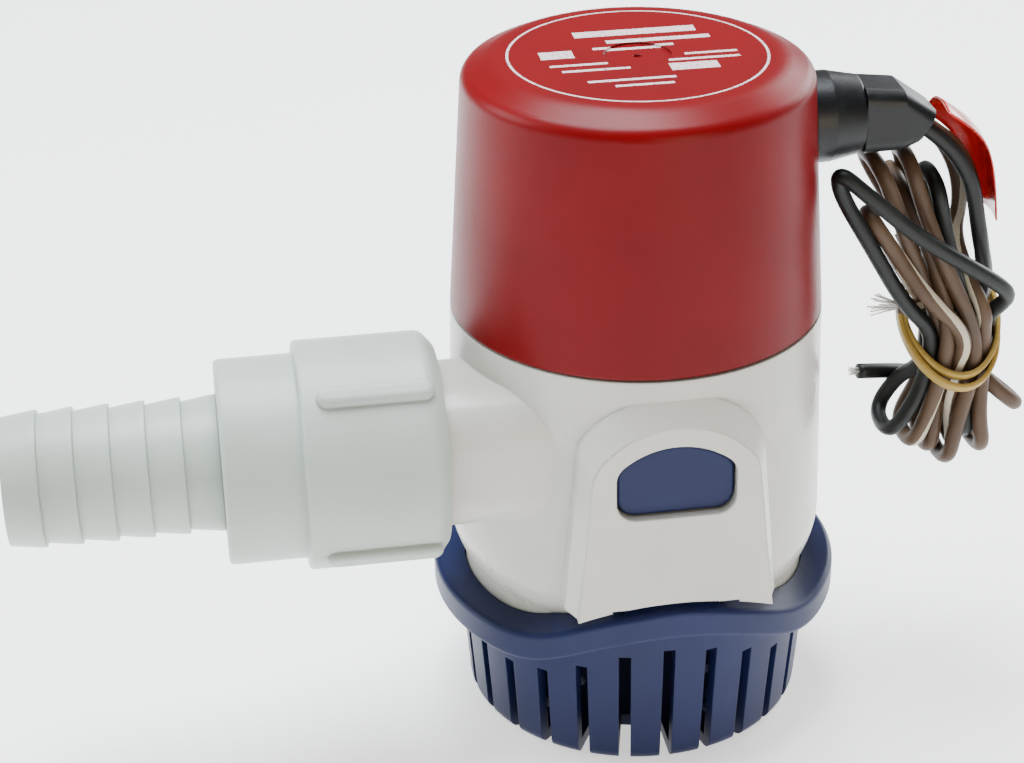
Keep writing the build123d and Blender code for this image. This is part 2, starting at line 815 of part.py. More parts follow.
with BuildPart() as switching_relay:
    with Locations((board_x - 3.3, -4, board_low + 14)):
        Box(6.6, 13, 17)
    fillet(switching_relay.edges().filter_by(Axis.X), 0.8)
switching_relay.part.label = "switching_relay"

with BuildPart() as board_capacitors:
    for height in (board_low + 8, board_low + 19):
        with Locations((board_x + board_t + 1.8, 8, height)):
            Cylinder(3.0, 3.6, rotation=(0, 90, 0))
    fillet(board_capacitors.edges().filter_by(GeomType.CIRCLE), 0.5)
board_capacitors.part.label = "board_capacitors"

with BuildPart() as board_chip:
    with Locations((board_x + board_t + 0.9, -6, board_low + 14)):
        Box(1.8, 6, 9)
board_chip.part.label = "board_chip"

# ---------------------------------------------------------------- discharge fittings
with BuildPart() as coupling_nut:
    with BuildSketch(duct_plane) as nut_half:
        bore = thread_r + slip
        add(ring_profile(
            [
                (nut_in, bore),
                (nut_in, nut_r - nut_bevel),
                (nut_in + nut_bevel * 0.8, nut_r),
                (nut_step, nut_r),
                (nut_step, collar_r),
                (nut_out, collar_r),
                (nut_out, barb_crest_r + slip),
                (shell_end + slip, barb_crest_r + slip),
                (shell_end + slip, shell_r + slip),
                (port_end + 1, shell_r + slip),
                (port_end, bore),
            ]
        ))
        fillet(nut_half.vertices().sort_by_distance((nut_in, nut_r - nut_bevel))[0], 1.2)
        fillet(nut_half.vertices().sort_by_distance((nut_in + nut_bevel * 0.8, nut_r))[0], 3.0)
        fillet(nut_half.vertices().sort_by_distance((nut_step, nut_r))[0], 0.9)
        fillet(nut_half.vertices().sort_by_distance((nut_out, collar_r))[0], 1.1)
        fillet(nut_half.vertices().sort_by_distance((nut_step, collar_r))[0], 0.6)
    revolve(axis=duct_axis)
    for i in range(grip_count):
        turn = grip_angle + i * 360 / grip_count
        out = Vector(0, -cos(radians(turn)), sin(radians(turn)))
        middle = Vector(-(nut_in + nut_step) / 2 + 0.6, duct_y, duct_z) + out * (nut_r - 1)
        with BuildSketch(Plane(origin=middle, x_dir=(-1, 0, 0), z_dir=out)):
            SlotOverall(grip_len, grip_w)
        extrude(amount=1 + grip_proud)
        grip_faces = coupling_nut.faces(Select.LAST).filter_by(GeomType.PLANE)
        fillet(grip_faces.sort_by_distance(middle + out * 9)[0].edges(), 1.4)
coupling_nut.part.label = "coupling_nut"

with BuildPart() as hose_barb:
    with BuildSketch(duct_plane):
        outline = [
            (seat_out, shell_in_r),
            (seat_out, shell_r),
            (shell_end, shell_r),
            (shell_end, barb_root_r),
            (nut_out, barb_root_r),
        ]
        for i in range(barb_count):
            start = nut_out + i * barb_pitch
            outline += [
                (start, barb_crest_r),
                (start + barb_land, barb_crest_r),
                (start + barb_pitch, barb_root_r),
            ]
        outline += [(tail_end, barb_bore_r + 0.6), (tail_end - 0.6, barb_bore_r)]
        outline += [(shell_end - wall, barb_bore_r), (shell_end - wall, shell_in_r)]
        add(ring_profile(outline))
    revolve(axis=duct_axis)
hose_barb.part.label = "hose_barb"

with BuildPart() as port_ring:
    with BuildSketch(duct_plane):
        with Locations((seat_in - ring_section, port_ring_r)):
            Circle(ring_section)
    revolve(axis=duct_axis)
port_ring.part.label = "port_ring"

with BuildPart() as valve_seat:
    with BuildSketch(duct_plane):
        add(ring_profile(
            [
                (seat_in, seat_bore_r),
                (seat_in, shell_r),
                (seat_out, shell_r),
                (seat_out, shell_in_r - 0.1),
                (flap_face - 0.6, shell_in_r - 0.1),
                (flap_face - 0.6, seat_bore_r + 1.2),
                (flap_face, seat_bore_r + 0.6),
                (flap_face, seat_bore_r),
            ]
        ))
    revolve(axis=duct_axis)
    # two lugs that carry the flap's pin
    for side in (-1, 1):
        lug_y = duct_y + side * (knuckle_half + 0.2 + lug_t / 2)
        lug_out = flap_pivot_s + flap_pin_r + 0.7
        with Locations((-(seat_out + lug_out) / 2, lug_y, duct_z + flap_pin_h - 0.1)):
            Box(lug_out - seat_out, lug_t, 2.2)
    with Locations((-flap_pivot_s, duct_y, duct_z + flap_pin_h)):
        Box(4.2, 2 * knuckle_half + 0.4, 4.4, mode=Mode.SUBTRACT)
        Cylinder(flap_pin_r, 4 * knuckle_half, rotation=(90, 0, 0), mode=Mode.SUBTRACT)
valve_seat.part.label = "valve_seat"

with BuildPart() as flap_pin:
    with Locations((-flap_pivot_s, duct_y, duct_z + flap_pin_h)):
        Cylinder(flap_pin_r, 2 * (knuckle_half + 0.2 + lug_t), rotation=(90, 0, 0))
flap_pin.part.label = "flap_pin"

with BuildPart() as valve_flap:
    with BuildSketch(Plane.YZ.offset(-flap_face - flap_t - 0.1)):
        with Locations((duct_y, duct_z)):
            Circle(flap_r)
        with Locations((duct_y, duct_z + (flap_r + flap_pin_h) / 2 - 1)):
            Rectangle(2 * knuckle_half - 0.2, flap_pin_h - flap_r + 2)
    extrude(amount=flap_t)
    with Locations((-flap_pivot_s, duct_y, duct_z + flap_pin_h)):
        Cylinder(knuckle_r, 2 * knuckle_half, rotation=(90, 0, 0))
        Cylinder(flap_pin_r + run_fit, 4 * knuckle_half, rotation=(90, 0, 0), mode=Mode.SUBTRACT)
valve_flap.part.label = "valve_flap"

# ---------------------------------------------------------------- cable entry
with BuildPart() as cap_envelope:
    with BuildSketch(Plane.XZ):
        add(ring_profile(
            [
                (0, cap_low),
                (cap_r, cap_low),
                (cap_shoulder_r, cap_shoulder_z),
                (0, cap_shoulder_z),
            ]
        ))
    revolve(axis=Axis.Z)

gland_axis = Axis((0, 0, gland_z), (1, 0, 0))
with BuildPart() as cable_gland:
    with BuildSketch(Plane(origin=(0, 0, gland_z), x_dir=(1, 0, 0), z_dir=(0, -1, 0))) as gland_half:
        add(ring_profile(
            [
                (cap_side_r - 6, 0),
                (cap_side_r - 6, gland_r),
                (cap_side_r + 3, gland_r),
                (cap_side_r + 6, gland_r - 0.6),
                (gland_end, gland_end_r),
                (gland_end, 0),
            ]
        ))
        fillet(gland_half.vertices().sort_by_distance((gland_end, gland_end_r))[0], 0.8)
    revolve(axis=gland_axis)
    add(cap_envelope.part, mode=Mode.SUBTRACT)
    with BuildSketch(Plane.YZ.offset(cap_side_r - 5)):
        with Locations((0, gland_z)):
            Circle(gland_neck_r)
    extrude(amount=8)
cable_gland.part.label = "cable_gland"

sleeve_tip = Plane(
    origin=(sleeve_end, 0, gland_z - sleeve_drop),
    x_dir=(0, 1, 0),
    z_dir=(cos(radians(sleeve_bend)), 0, -sin(radians(sleeve_bend))),
)
with BuildPart() as cable_sleeve:
    with BuildSketch(Plane(origin=(gland_end, 0, gland_z), x_dir=(0, 1, 0), z_dir=(1, 0, 0))):
        RectangleRounded(sleeve_w, sleeve_h, 3.0)
    with BuildSketch(Plane(origin=(sleeve_corner, 0, gland_z - 0.4), x_dir=(0, 1, 0), z_dir=(1, 0, 0))):
        RectangleRounded(sleeve_w, sleeve_h - 1.2, 3.0)
    with BuildSketch(sleeve_tip):
        RectangleRounded(sleeve_w - 1, sleeve_tip_h, 3.0)
    loft(ruled=True)
cable_sleeve.part.label = "cable_sleeve"

# ---------------------------------------------------------------- leads
# Route of each lead from the sleeve's end into the folded bundle, then its bare tail.
lead_routes = {
    "lead_black": [
        (61.0, -3.9, 132.2),
        (65.2, -4.3, 129.0),
        (69.4, -4.9, 124.2),
        (72.4, -5.2, 118.0),
        (74.0, -5.0, 110.6),
        (74.0, -4.4, 103.0),
    ],
    "lead_brown": [
        (61.0, 0.0, 132.2),
        (65.2, 0.0, 129.3),
        (70.2, 0.4, 124.8),
        (73.8, 0.8, 118.4),
        (75.6, 0.8, 111.0),
        (76.6, 0.6, 103.4),
    ],
    "lead_striped": [
        (61.0, 3.9, 132.2),
        (65.0, 4.2, 128.9),
        (69.4, 4.6, 123.6),
        (72.4, 4.9, 117.2),
        (73.4, 4.7, 110.2),
        (72.8, 4.2, 103.2),
    ],
}
tail_routes = {
    "tail_black": [(68.0, 7.0, 66.4), (60.6, 7.6, 68.2), (53.2, 6.6, 69.2)],
    "tail_striped": [(66.0, -2.0, 86.2), (62.6, -1.4, 88.2), (59.0, -1.0, 88.8)],
    "tail_brown": [(66.5, 5.5, 93.5), (64.2, 8.2, 97.6), (62.5, 10.6, 101.4)],
}


def corner_radii(points):
    """Arc at each corner, as large as the shorter of its two runs allows."""
    radii = []
    for before, here, after in zip(points, points[1:], points[2:]):
        run_in = Vector(*here) - Vector(*before)
        run_out = Vector(*after) - Vector(*here)
        turn = radians(run_in.get_angle(run_out))
        radii.append(0.45 * min(run_in.length, run_out.length) / tan(turn / 2))
    return radii


cord_parts = {}
for name, points in (lead_routes | tail_routes).items():
    radii = corner_radii(points)
    with BuildPart() as lead:
        with BuildLine() as route:
            FilletPolyline(*points, radius=radii)
        with BuildSketch(Plane(origin=route.line @ 0, z_dir=route.line % 0)):
            Circle(lead_d / 2)
        sweep()
    lead.part.label = name
    cord_parts[name] = lead.part
    expected = route.wires()[0].length * pi * lead_d**2 / 4
    print(name, "radii", [round(r, 1) for r in radii], "volume ratio", round(lead.part.volume / expected, 4))

# tinned strands at the end of each tail
for name, points in tail_routes.items():
    end = Vector(*points[-1])
    way = (end - Vector(*points[-2])).normalized()
    with BuildPart() as tip:
        with BuildSketch(Plane(origin=end, z_dir=way)):
            Circle(tip_r)
        extrude(amount=tip_len)
    tip_name = name.replace("tail", "tip")
    tip.part.label = tip_name
    cord_parts[tip_name] = tip.part

# the folded bundle, as (height, centre x, half width, half depth) of its sections
hank_sections = [
    (51.0, 70.5, 8.0, 4.0),
    (60.0, 73.0, 16.5, 8.0),
    (78.0, 71.6, 11.0, 8.6),
    (94.0, 70.0, 12.5, 9.0),
    (109.0, 64.0, 14.5, 8.6),
    (124.0, 54.0, 9.0, 4.5),
]
with BuildPart() as lead_hank:
    for height, centre_x, half_x, half_y in hank_sections:
        with BuildSketch(Plane.XY.offset(height)):
            with Locations((centre_x, 0)):
                Ellipse(half_x, half_y)
    loft()
lead_hank.part.label = "lead_hank"

with BuildPart() as rubber_band:
    with BuildSketch(Plane.XY.offset(band_z - band_reach)):
        with Locations((band_x, 0)):
            Ellipse(band_half_x + band_t, band_half_y + band_t)
            Ellipse(band_half_x, band_half_y, mode=Mode.SUBTRACT)
    extrude(amount=2 * band_reach)
    # only the stretch that the tilted band covers
    with BuildSketch(Plane.YZ.offset(band_x - 2 * band_half_x)):
        with Locations(Location((0, band_z), band_tilt)):
            Rectangle(6 * band_half_y, band_w)
    extrude(amount=4 * band_half_x, mode=Mode.INTERSECT)
rubber_band.part.label = "rubber_band"

with BuildPart() as red_tag:
    with BuildSketch(Plane.XZ.offset(-6.5)):
        with BuildLine():
            outer = ThreePointArc((66.0, 134.0), (74.9, 124.3), (78.6, 109.6))
            inner = ThreePointArc((65.6, 133.6), (74.4, 124.0), (78.0, 109.5))
            Line(outer @ 0, inner @ 0)
            Line(outer @ 1, inner @ 1)
        make_face()
    extrude(amount=13)
red_tag.part.label = "red_tag"

# ---------------------------------------------------------------- write one file per piece
pieces = [
    strainer.part,
    release_tab_front,
    release_tab_rear,
    pump_body.part,
    motor_cap.part,
    cap_ring.part,
    inlet_plate.part,
    plate_screws.part,
    impeller.part,
    motor_shaft.part,
    armature_core.part,
    windings.part,
    commutator.part,
    motor_can.part,
    magnets.part,
    end_bell.part,
    shaft_bushes.part,
    shaft_seal.part,
    brushes.part,
    brush_arms.part,
    motor_terminals.part,
    motor_pad.part,
    control_board.part,
    switching_relay.part,
    board_capacitors.part,
    board_chip.part,
    coupling_nut.part,
    hose_barb.part,
    port_ring.part,
    valve_seat.part,
    flap_pin.part,
    valve_flap.part,
    cable_gland.part,
    cable_sleeve.part,
    lead_hank.part,
    rubber_band.part,
    red_tag.part,
    *cord_parts.values(),
]
os.makedirs("parts", exist_ok=True)
for piece in pieces:
    export_step(piece, f"parts/{piece.label}.step")
print(len(pieces), "pieces")
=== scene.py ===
"""Finish and soft parts of a submersible bilge pump, built around its CAD frame.

Lengths are in metres unless a name ends in _mm. The origin is on the pump's axis, in the plane that
the strainer stands on, with the discharge towards -X and the power leads towards +X.
"""

import logging
import math
import random
from dataclasses import dataclass, field
from enum import Enum
from typing import Any, Iterable, Sequence

import bmesh
import bpy
import numpy as np
from mathutils import Matrix, Vector

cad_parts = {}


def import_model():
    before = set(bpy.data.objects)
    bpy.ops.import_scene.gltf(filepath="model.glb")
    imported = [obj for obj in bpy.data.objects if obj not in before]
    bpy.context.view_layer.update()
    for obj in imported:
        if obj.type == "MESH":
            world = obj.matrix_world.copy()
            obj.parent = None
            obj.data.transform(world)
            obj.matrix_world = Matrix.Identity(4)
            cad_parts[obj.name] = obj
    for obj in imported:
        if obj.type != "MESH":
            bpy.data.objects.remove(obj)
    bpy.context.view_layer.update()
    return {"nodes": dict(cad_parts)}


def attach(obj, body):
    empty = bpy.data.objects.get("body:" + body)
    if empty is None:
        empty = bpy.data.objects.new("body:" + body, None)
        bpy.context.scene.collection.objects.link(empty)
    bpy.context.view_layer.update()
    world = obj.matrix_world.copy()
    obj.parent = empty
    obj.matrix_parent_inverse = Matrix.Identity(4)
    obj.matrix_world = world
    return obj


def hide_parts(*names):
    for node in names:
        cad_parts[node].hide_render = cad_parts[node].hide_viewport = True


log = logging.getLogger("bilge_pump")
MM = 0.001
LEAD_MM = 3.5  # diameter of a lead over its insulation
WAIST_X_MM = 71.6  # middle of the tied bundle
BAND_Z_MM = 83.3
BAND_TILT = 0.87  # rise of the band along Y
Colour = tuple[float, float, float]
Point = tuple[float, float, float]


# ---------------------------------------------------------------- shader tools
class Wire:
    """A number that varies over a surface, with Python's operators adding Math nodes."""

    def __init__(self, shader: "Shader", socket: bpy.types.NodeSocket) -> None:
        """Wrap a node's output socket."""
        self.shader = shader
        self.socket = socket

    def _math(self, operation: str, *values: Any) -> "Wire":
        """Add a Math node that works on the given values."""
        node = self.shader.node("ShaderNodeMath", {"operation": operation}, dict(enumerate(values)))
        return Wire(self.shader, node.outputs[0])

    def __add__(self, other: Any) -> "Wire":
        """Sum."""
        return self._math("ADD", self, other)

    __radd__ = __add__

    def __sub__(self, other: Any) -> "Wire":
        """Difference."""
        return self._math("SUBTRACT", self, other)

    def __rsub__(self, other: Any) -> "Wire":
        """Reflected difference."""
        return self._math("SUBTRACT", other, self)

    def __mul__(self, other: Any) -> "Wire":
        """Product."""
        return self._math("MULTIPLY", self, other)

    def __pow__(self, other: Any) -> "Wire":
        """Power."""
        return self._math("POWER", self, other)

    def __abs__(self) -> "Wire":
        """Distance from zero."""
        return self._math("ABSOLUTE", self)

    def above(self, level: Any) -> "Wire":
        """One where the value is over the level, and zero elsewhere."""
        return self._math("GREATER_THAN", self, level)

    def below(self, level: Any) -> "Wire":
        """One where the value is under the level, and zero elsewhere."""
        return self._math("LESS_THAN", self, level)

    def highest(self, other: Any) -> "Wire":
        """The larger of two values."""
        return self._math("MAXIMUM", self, other)


class Shader:
    """A material's node tree, with short calls for the nodes that the finishes use."""

    def __init__(self, name: str) -> None:
        """Start an empty material of that name with a Principled shader."""
        self.material = bpy.data.materials.new(name)
        self.material.use_nodes = True
        self.tree = self.material.node_tree
        self.tree.nodes.clear()
        self.surface = self.node("ShaderNodeBsdfPrincipled")
        self.node("ShaderNodeOutputMaterial", inputs={"Surface": self.surface.outputs[0]})
        coordinates = self.node("ShaderNodeTexCoord")
        self.place = coordinates.outputs["Object"]

    def node(
        self, kind: str, settings: dict[str, Any] | None = None, inputs: dict[Any, Any] | None = None
    ) -> bpy.types.Node:
        """Add a node.

        Args:
            kind: Blender's name of the node type.
            settings: Node properties, which are set first.
            inputs: Socket name or number to a number, a colour, a socket or a Wire.

        Returns:
            The new node.
        """
        made = self.tree.nodes.new(kind)
        for key, value in (settings or {}).items():
            setattr(made, key, value)
        for key, value in (inputs or {}).items():
            if isinstance(value, Wire):
                value = value.socket
            if isinstance(value, bpy.types.NodeSocket):
                self.tree.links.new(value, made.inputs[key])
            else:
                made.inputs[key].default_value = value
        return made

    def set(self, **values: Any) -> None:
        """Set the Principled shader's sockets; an underscore stands for a space in a socket's name."""
        for key, value in values.items():
            name = key.replace("_", " ")
            if isinstance(value, Wire):
                value = value.socket
            if isinstance(value, bpy.types.NodeSocket):
                self.tree.links.new(value, self.surface.inputs[name])
            else:
                self.surface.inputs[name].default_value = value

    def noise(self, per_mm: float, detail: float = 3.0, stretch: Point = (1, 1, 1)) -> Wire:
        """Noise from 0 to 1, at a number of cells per millimetre, stretched along the axes."""
        scaled = self.node("ShaderNodeMapping", inputs={"Vector": self.place, "Scale": stretch})
        made = self.node(
            "ShaderNodeTexNoise",
            inputs={"Vector": scaled.outputs[0], "Scale": per_mm / MM, "Detail": detail, "Roughness": 0.55},
        )
        return Wire(self, made.outputs[0])

    def axes(self) -> tuple[Wire, Wire, Wire]:
        """The place on the object along X, Y and Z, in millimetres."""
        scaled = self.node(
            "ShaderNodeVectorMath", {"operation": "SCALE"}, {"Vector": self.place, "Scale": 1 / MM}
        )
        parts = self.node("ShaderNodeSeparateXYZ", inputs={0: scaled.outputs[0]})
        return tuple(Wire(self, output) for output in parts.outputs)

    def value_of(self, attribute: str) -> Wire:
        """A number stored on the mesh's points."""
        made = self.node("ShaderNodeAttribute", {"attribute_name": attribute})
        return Wire(self, made.outputs["Fac"])

    def mix(self, share: Any, first: Any, second: Any) -> bpy.types.NodeSocket:
        """Blend two colours: the first where share is 0 and the second where it is 1."""
        rgba = [(*c, 1.0) if isinstance(c, tuple) else c for c in (first, second)]
        made = self.node("ShaderNodeMix", {"data_type": "RGBA"}, {0: share, 6: rgba[0], 7: rgba[1]})
        return made.outputs[2]

    def clamp_range(self, value: Wire, low: float, high: float) -> Wire:
        """Stretch low..high to 0..1, held at both ends."""
        made = self.node("ShaderNodeMapRange", inputs={0: value, 1: low, 2: high, 3: 0.0, 4: 1.0})
        return Wire(self, made.outputs[0])

    def relief(self, height: Wire, depth_mm: float, edge_mm: float = 0.0) -> bpy.types.NodeSocket:
        """Surface normal from a height from 0 to 1, over edges softened by a small radius."""
        inputs: dict[str, Any] = {"Height": height, "Distance": depth_mm * MM, "Strength": 1.0}
        if edge_mm:
            soft = self.node("ShaderNodeBevel", {"samples": 4}, {"Radius": edge_mm * MM})
            inputs["Normal"] = soft.outputs[0]
        return self.node("ShaderNodeBump", inputs=inputs).outputs[0]


# ---------------------------------------------------------------- finishes
@dataclass(frozen=True)
class Moulding:
    """Moulded plastic with a fine satin grain, faint clouding and handling marks."""

    name: str
    colour: Colour
    shade: Colour
    roughness: float = 0.35
    grain_mm: float = 0.012
    edge_mm: float = 0.35
    coat: float = 0.0
    specular: float = 0.3

    def dress(self, shader: Shader) -> Wire:
        """Set colour, gloss and relief, and return the clouding mask."""
        cloud = shader.clamp_range(shader.noise(0.035, 2.0), 0.35, 0.7)
        marks = shader.clamp_range(shader.noise(0.6, 5.0, (1.0, 1.0, 0.25)), 0.62, 0.8)
        grain = shader.noise(2.6, 2.0) * 0.7 + shader.noise(0.25, 2.0) * 0.3
        shader.set(
            Base_Color=shader.mix(cloud, self.colour, self.shade),
            Roughness=self.roughness + cloud * 0.05 + marks * 0.12,
            Normal=shader.relief(grain, self.grain_mm, self.edge_mm),
            Coat_Weight=self.coat,
            Coat_Roughness=0.12,
            Specular_IOR_Level=self.specular,
        )
        return cloud

    def material(self) -> bpy.types.Material:
        """The finished material."""
        shader = Shader(self.name)
        self.dress(shader)
        return shader.material


@dataclass(frozen=True)
class PrintedCap(Moulding):
    """Moulded cap with a plain white printed ring and plain bars on its flat top."""

    ink: Colour = (0.62, 0.50, 0.50)
    top_mm: float = 150.0
    ring_mm: float = 26.8
    line_mm: float = 0.55
    bars: tuple[tuple[float, float, float, float], ...] = ()

    def material(self) -> bpy.types.Material:
        """The finished material."""
        shader = Shader(self.name)
        cloud = self.dress(shader)
        x, y, z = shader.axes()
        radius = (x * x + y * y) ** 0.5
        ink = abs(radius - self.ring_mm).below(self.line_mm / 2)
        for along, across, length, height in self.bars:
            bar = abs(x - along).below(length / 2) * abs(y - across).below(height / 2)
            ink = ink.highest(bar)
        worn = shader.clamp_range(shader.noise(1.4, 4.0), 0.25, 0.45)
        ink = ink * z.above(self.top_mm) * worn
        plastic = shader.mix(cloud, self.colour, self.shade)
        shader.set(Base_Color=shader.mix(ink, plastic, self.ink))
        return shader.material


@dataclass(frozen=True)
class Rubber:
    """Matt rubber or vinyl with a fine leathery grain and dusty high spots."""

    name: str
    colour: Colour
    dust: Colour
    roughness: float = 0.55
    grain_mm: float = 0.03
    edge_mm: float = 0.3

    def material(self) -> bpy.types.Material:
        """The finished material."""
        shader = Shader(self.name)
        dust = shader.clamp_range(shader.noise(0.22, 4.0), 0.45, 0.8)
        grain = shader.noise(1.6, 3.0)
        shader.set(
            Base_Color=shader.mix(dust * 0.6, self.colour, self.dust),
            Roughness=self.roughness + dust * 0.15,
            Normal=shader.relief(grain, self.grain_mm, self.edge_mm),
            Specular_IOR_Level=0.3,
        )
        return shader.material


@dataclass(frozen=True)
class Metal:
    """Machined or drawn metal with fine tool lines and tarnish."""

    name: str
    colour: Colour
    tarnish: Colour
    roughness: float = 0.3
    lines: Point = (0.15, 0.15, 6.0)

    def material(self) -> bpy.types.Material:
        """The finished material."""
        shader = Shader(self.name)
        patches = shader.clamp_range(shader.noise(0.2, 4.0), 0.4, 0.75)
        lines = shader.noise(1.2, 2.0, self.lines)
        shader.set(
            Base_Color=shader.mix(patches, self.colour, self.tarnish),
            Metallic=0.95 - patches * 0.25,
            Roughness=self.roughness + patches * 0.2 + lines * 0.08,
            Normal=shader.relief(lines, 0.008, 0.1),
        )
        return shader.material


@dataclass(frozen=True)
class Board:
    """Green lacquered circuit board with copper tracks under the lacquer."""

    name: str = "board_lacquer"

    def material(self) -> bpy.types.Material:
        """The finished material."""
        shader = Shader(self.name)
        _, y, z = shader.axes()
        lanes = shader.node(
            "ShaderNodeTexVoronoi", {"feature": "DISTANCE_TO_EDGE"}, {"Vector": shader.place, "Scale": 210.0}
        )
        track = Wire(shader, lanes.outputs[0]).below(0.08)
        weave = shader.noise(1.5, 2.0, (1, 6, 1)) * 0.5 + shader.noise(1.5, 2.0, (1, 1, 6)) * 0.5
        shader.set(
            Base_Color=shader.mix(track, (0.012, 0.11, 0.035), (0.05, 0.26, 0.07)),
            Roughness=0.28 + weave * 0.12,
            Normal=shader.relief(track * 0.8 + weave * 0.2, 0.03, 0.05),
        )
        return shader.material


@dataclass(frozen=True)
class Insulation:
    """Flexible wire insulation, plain or with a stripe along it."""

    name: str
    colour: Colour
    worn: Colour
    stripe: Colour | None = None
    roughness: float = 0.42

    def material(self) -> bpy.types.Material:
        """The finished material."""
        shader = Shader(self.name)
        smudge = shader.clamp_range(shader.noise(0.12, 4.0), 0.4, 0.75)
        grain = shader.noise(1.1, 3.0)
        colour = shader.mix(smudge, self.colour, self.worn)
        if self.stripe:
            edge = shader.value_of("around") + shader.noise(1.5, 2.0) * 0.06
            colour = shader.mix(edge.above(0.9), colour, self.stripe)
        shader.set(
            Base_Color=colour,
            Roughness=self.roughness + smudge * 0.14,
            Normal=shader.relief(grain, 0.02),
            Specular_IOR_Level=0.3,
        )
        return shader.material


@dataclass(frozen=True)
class Film:
    """Thin glossy coloured vinyl that lets some light through."""

    name: str
    colour: Colour
    dark: Colour

    def material(self) -> bpy.types.Material:
        """The finished material."""
        shader = Shader(self.name)
        cloud = shader.clamp_range(shader.noise(0.15, 3.0), 0.3, 0.7)
        ripple = shader.noise(0.35, 2.0, (1, 0.3, 1))
        shader.set(
            Base_Color=shader.mix(cloud, self.colour, self.dark),
            Roughness=0.22 + cloud * 0.08,
            Normal=shader.relief(ripple, 0.06, 0.1),
            Transmission_Weight=0.25,
            Coat_Weight=0.4,
        )
        return shader.material


class Finish(Enum):
    """The object's finishes, by what they are made of."""

    NAVY = Moulding("navy_nylon", (0.0065, 0.0105, 0.050), (0.009, 0.0145, 0.065), 0.38, 0.02, 0.4, 0.0, 0.2)
    WHITE = Moulding("white_abs", (0.56, 0.545, 0.495), (0.50, 0.49, 0.44), 0.27, 0.010, 0.8, 0.1, 0.35)
    FITTING = Moulding("fitting_nylon", (0.42, 0.475, 0.43), (0.38, 0.43, 0.375), 0.36, 0.016, 0.6)
    RED = PrintedCap(
        "red_abs",
        (0.15, 0.0008, 0.0026),
        (0.125, 0.0007, 0.0021),
        0.33,
        0.022,
        0.4,
        0.0,
        0.14,
        bars=(
            (2.0, 13.5, 26.0, 3.4),
            (6.0, 8.2, 22.0, 2.0),
            (0.0, 4.6, 17.0, 1.3),
            (-16.5, 2.4, 7.0, 4.4),
            (-13.0, -4.0, 12.0, 1.1),
            (15.0, -1.6, 11.0, 1.1),
            (13.0, -4.6, 15.0, 1.1),
            (-10.0, -7.4, 14.0, 1.1),
            (10.0, -8.6, 10.0, 4.0),
            (-4.0, -14.0, 18.0, 1.1),
            (-2.0, -17.2, 12.0, 1.1),
        ),
    )
    BLACK_RUBBER = Rubber("black_rubber", (0.002, 0.0025, 0.003), (0.006, 0.007, 0.009), 0.36)
    FOAM = Rubber("pad_foam", (0.03, 0.03, 0.03), (0.08, 0.08, 0.08), 0.9, 0.2)
    BAND = Rubber("band_rubber", (0.36, 0.235, 0.05), (0.44, 0.31, 0.09), 0.38, 0.03, 0.1)
    CARBON = Rubber("brush_carbon", (0.02, 0.02, 0.022), (0.06, 0.06, 0.06), 0.6)
    BLACK_PLASTIC = Moulding("black_plastic", (0.012, 0.012, 0.013), (0.02, 0.02, 0.021), 0.38)
    STEEL = Metal("plated_steel", (0.62, 0.62, 0.64), (0.42, 0.41, 0.40))
    CORE = Metal("laminated_core", (0.35, 0.34, 0.33), (0.2, 0.19, 0.18), 0.4, (0.1, 0.1, 14.0))
    COPPER = Metal("copper", (0.72, 0.30, 0.14), (0.42, 0.16, 0.08), 0.35, (4.0, 4.0, 0.3))
    BRONZE = Metal("sintered_bronze", (0.48, 0.33, 0.16), (0.3, 0.2, 0.1), 0.5)
    BRASS = Metal("brass_strip", (0.76, 0.56, 0.22), (0.5, 0.36, 0.15))
    FERRITE = Metal("ferrite", (0.1, 0.1, 0.1), (0.06, 0.06, 0.06), 0.6)
    ALUMINIUM = Metal("capacitor_can", (0.72, 0.72, 0.72), (0.5, 0.5, 0.5))
    TINNED = Metal("tinned_strands", (0.74, 0.72, 0.68), (0.5, 0.47, 0.42), 0.35, (4.0, 4.0, 4.0))
    BOARD = Board()
    LEAD_BLACK = Insulation("black_insulation", (0.003, 0.004, 0.0035), (0.009, 0.011, 0.0095))
    LEAD_BROWN = Insulation("brown_insulation", (0.062, 0.034, 0.018), (0.095, 0.056, 0.031))
    LEAD_STRIPED = Insulation(
        "striped_insulation", (0.072, 0.04, 0.022), (0.105, 0.063, 0.036), (0.50, 0.44, 0.33)
    )
    RED_FILM = Film("red_vinyl", (0.62, 0.004, 0.002), (0.45, 0.004, 0.002))


class Palette:
    """Makes each material once and hands it out."""

    def __init__(self) -> None:
        """Start with nothing made."""
        self.made: dict[Finish, bpy.types.Material] = {}

    def __getitem__(self, finish: Finish) -> bpy.types.Material:
        """The material of a finish."""
        if finish not in self.made:
            self.made[finish] = finish.value.material()
        return self.made[finish]

    def dress(self, piece: bpy.types.Object, finish: Finish) -> None:
        """Give a piece one finish all over."""
        piece.data.materials.clear()
        piece.data.materials.append(self[finish])


# ---------------------------------------------------------------- mesh tools
def to_metres(points: Iterable[Point]) -> list[Vector]:
    """Points given in millimetres, in metres."""
    return [Vector(p) * MM for p in points]


